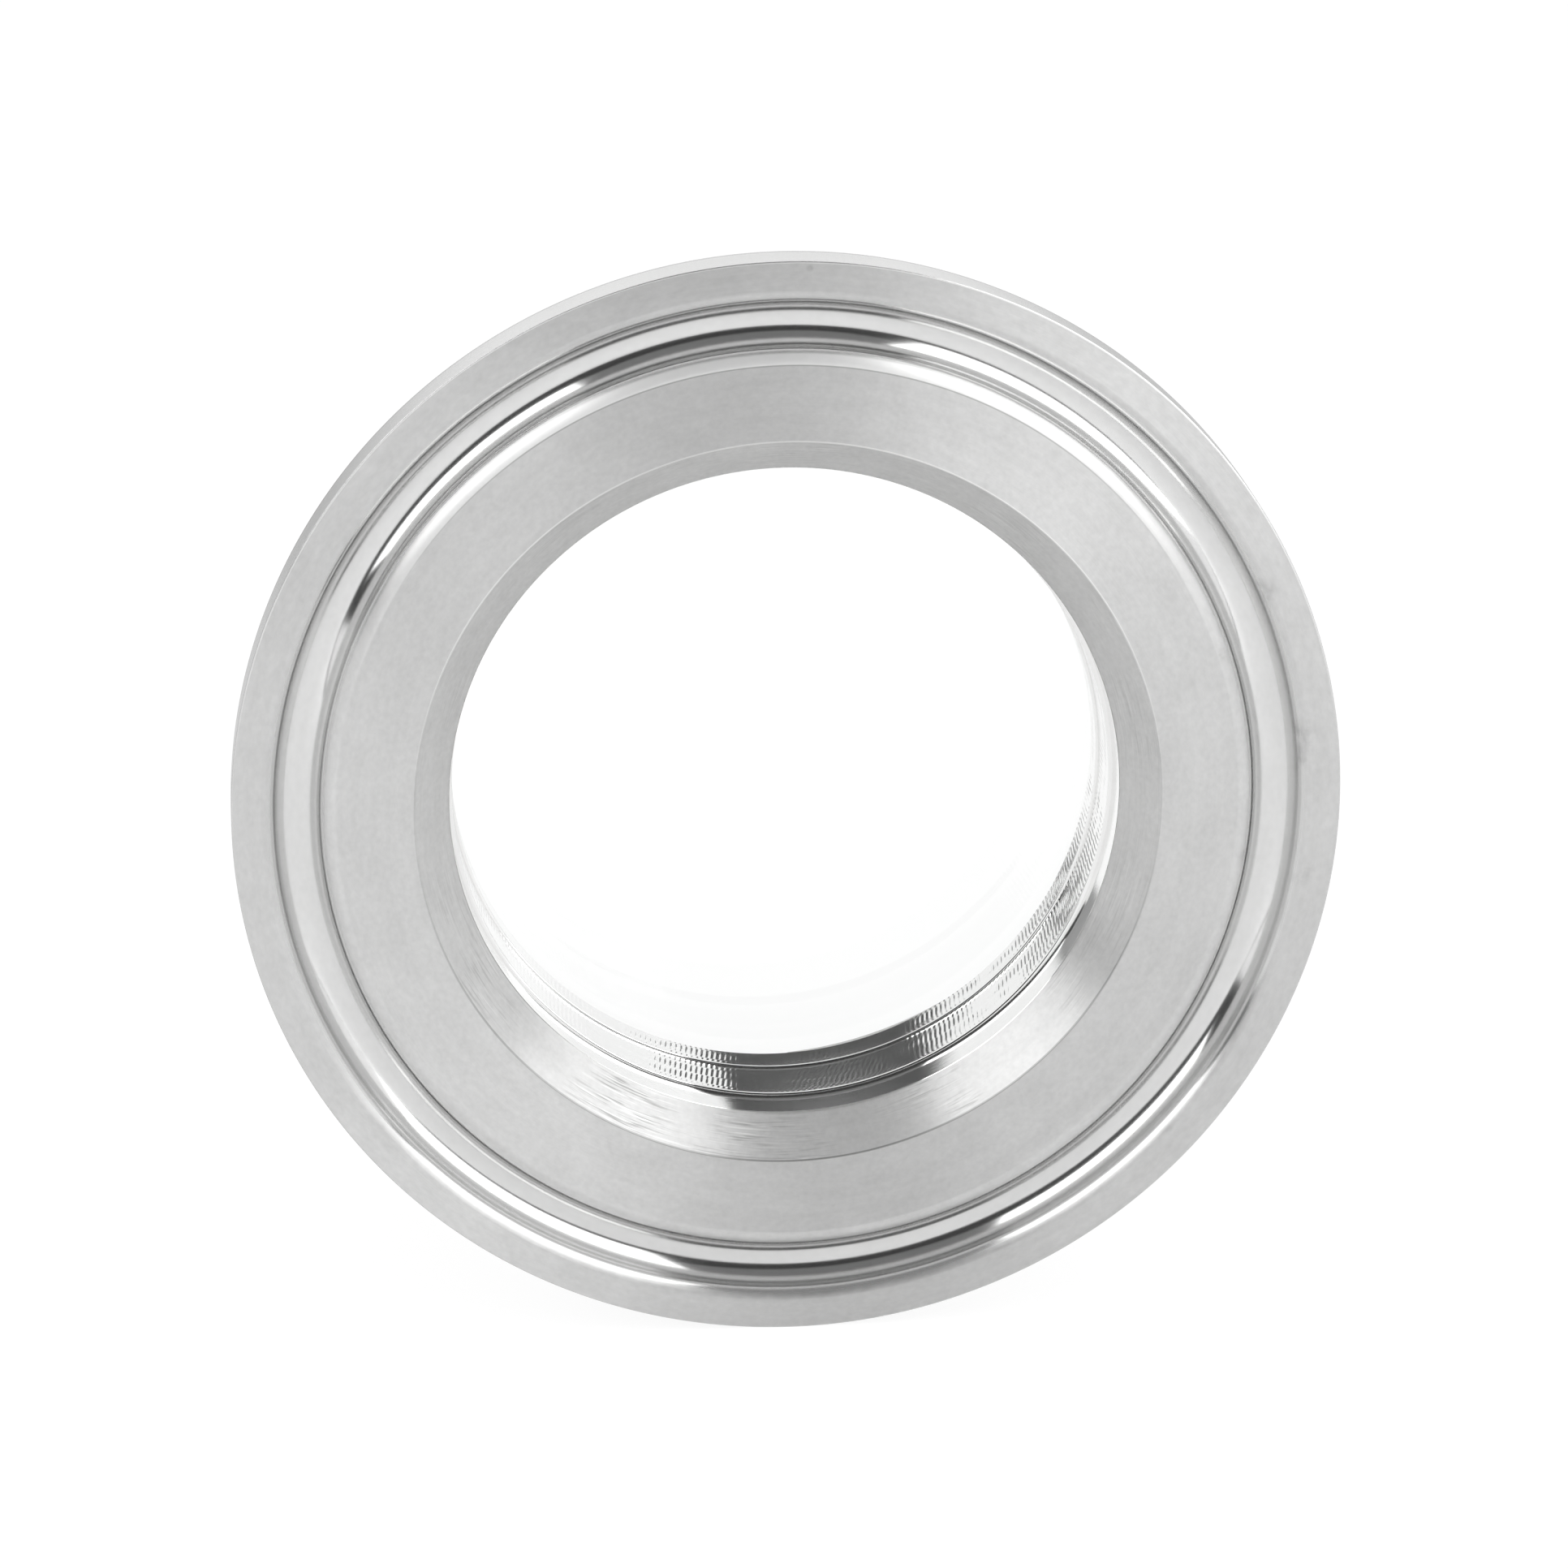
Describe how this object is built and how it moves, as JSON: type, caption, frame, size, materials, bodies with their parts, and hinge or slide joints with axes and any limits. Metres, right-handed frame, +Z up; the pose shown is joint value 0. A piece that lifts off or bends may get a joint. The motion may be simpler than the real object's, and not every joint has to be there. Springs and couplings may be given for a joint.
{
  "type": "sight glass",
  "caption": "Short stainless clamp-end sight glass: grooved clamp flange, stepped bore, and a glass disc held behind a lip by a screwed retaining ring.",
  "frame": {"origin": "centre of the clamp flange's sealing face", "axes": "+Y runs along the centreline from the sealing face through the glass to the rear rim; the sealing face looks along -Y; +Z is up as installed in the side of a vessel or line"},
  "size_m": [0.064, 0.0255, 0.064],
  "materials": {
    "turned_steel": "fine turned stainless steel, satin flats and a bright polished groove",
    "ring_steel": "turned stainless steel, satin",
    "window_glass": "clear polished borosilicate glass",
    "gasket": "white silicone, matte",
    "slip_washer": "white PTFE"
  },
  "bodies": {
    "housing": {"ferrule_housing": "turned_steel", "process_gasket": "gasket", "glass_disc": "window_glass", "outer_gasket": "gasket"},
    "washer": {"slip_washer": "slip_washer"},
    "ring": {"retaining_ring": "ring_steel"}
  },
  "joints": [
    {"name": "washer_draw", "type": "slide", "parent": "housing", "child": "washer", "axis": [0, 1, 0], "range_m": [0, 0.00337]},
    {"name": "ring_unscrew", "type": "hinge", "parent": "washer", "child": "ring", "pos_m": [0, 0.0227, 0], "axis": [0, 1, 0], "range_deg": [0, 810]}
  ],
  "couplings": [
    {"joint": "washer_draw", "follows": "ring_unscrew", "m_per_rad": 0.00023873}
  ]
}
